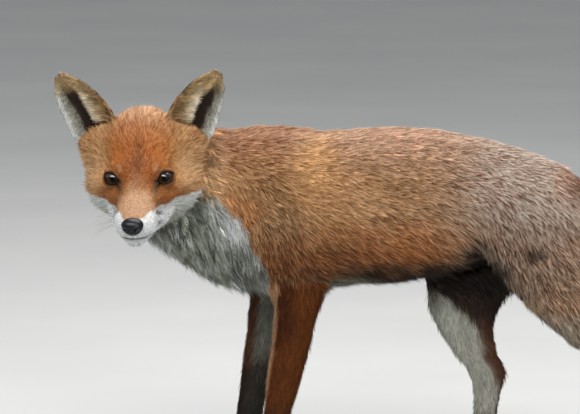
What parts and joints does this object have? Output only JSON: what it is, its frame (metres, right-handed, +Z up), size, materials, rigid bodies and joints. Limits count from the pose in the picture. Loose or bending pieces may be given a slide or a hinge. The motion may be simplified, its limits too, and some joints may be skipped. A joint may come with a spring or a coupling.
{
  "type": "red fox figure",
  "caption": "Life-size standing red fox with its head turned to its left, one hind leg stretched back and a hanging bushy tail.",
  "frame": {"origin": "on the floor, under the middle of the bounding box", "axes": "+X towards the tail, -X towards the shoulders and neck, -Y the fox's left side, which its face looks out to, +Z up"},
  "size_m": [0.8602, 0.2758, 0.4326],
  "materials": {
    "coat_russet": "furred, matt",
    "coat_ruddy": "furred, matt",
    "coat_cream": "furred, matt",
    "coat_brush": "furred, matt",
    "coat_dark": "furred, matt",
    "eye": "polished glass-like",
    "nose": "moist satin",
    "claw": "horn, satin"
  },
  "bodies": {
    "root": {"claw_fore_left_1": "claw", "claw_fore_left_2": "claw", "claw_fore_left_3": "claw", "claw_fore_left_4": "claw", "claw_fore_right_1": "claw", "claw_fore_right_2": "claw", "claw_fore_right_3": "claw", "claw_fore_right_4": "claw", "claw_hind_left_1": "claw", "claw_hind_left_2": "claw", "claw_hind_left_3": "claw", "claw_hind_left_4": "claw", "claw_hind_right_1": "claw", "claw_hind_right_2": "claw", "claw_hind_right_3": "claw", "claw_hind_right_4": "claw", "ear_left": "coat_russet", "ear_right": "coat_russet", "eye_left": "eye", "eye_right": "eye", "fore_leg_left": "coat_ruddy", "fore_leg_right": "coat_ruddy", "fore_paw_left": "coat_dark", "fore_paw_right": "coat_dark", "head": "coat_russet", "hind_foot_left": "coat_dark", "hind_foot_right": "coat_dark", "lower_jaw": "coat_cream", "neck": "coat_russet", "nose": "nose", "shank_left": "coat_ruddy", "shank_right": "coat_ruddy", "tail_middle": "coat_brush", "tail_root": "coat_brush", "tail_tip": "coat_cream", "thigh_left": "coat_brush", "thigh_right": "coat_brush", "trunk": "coat_russet"}
  },
  "joints": []
}
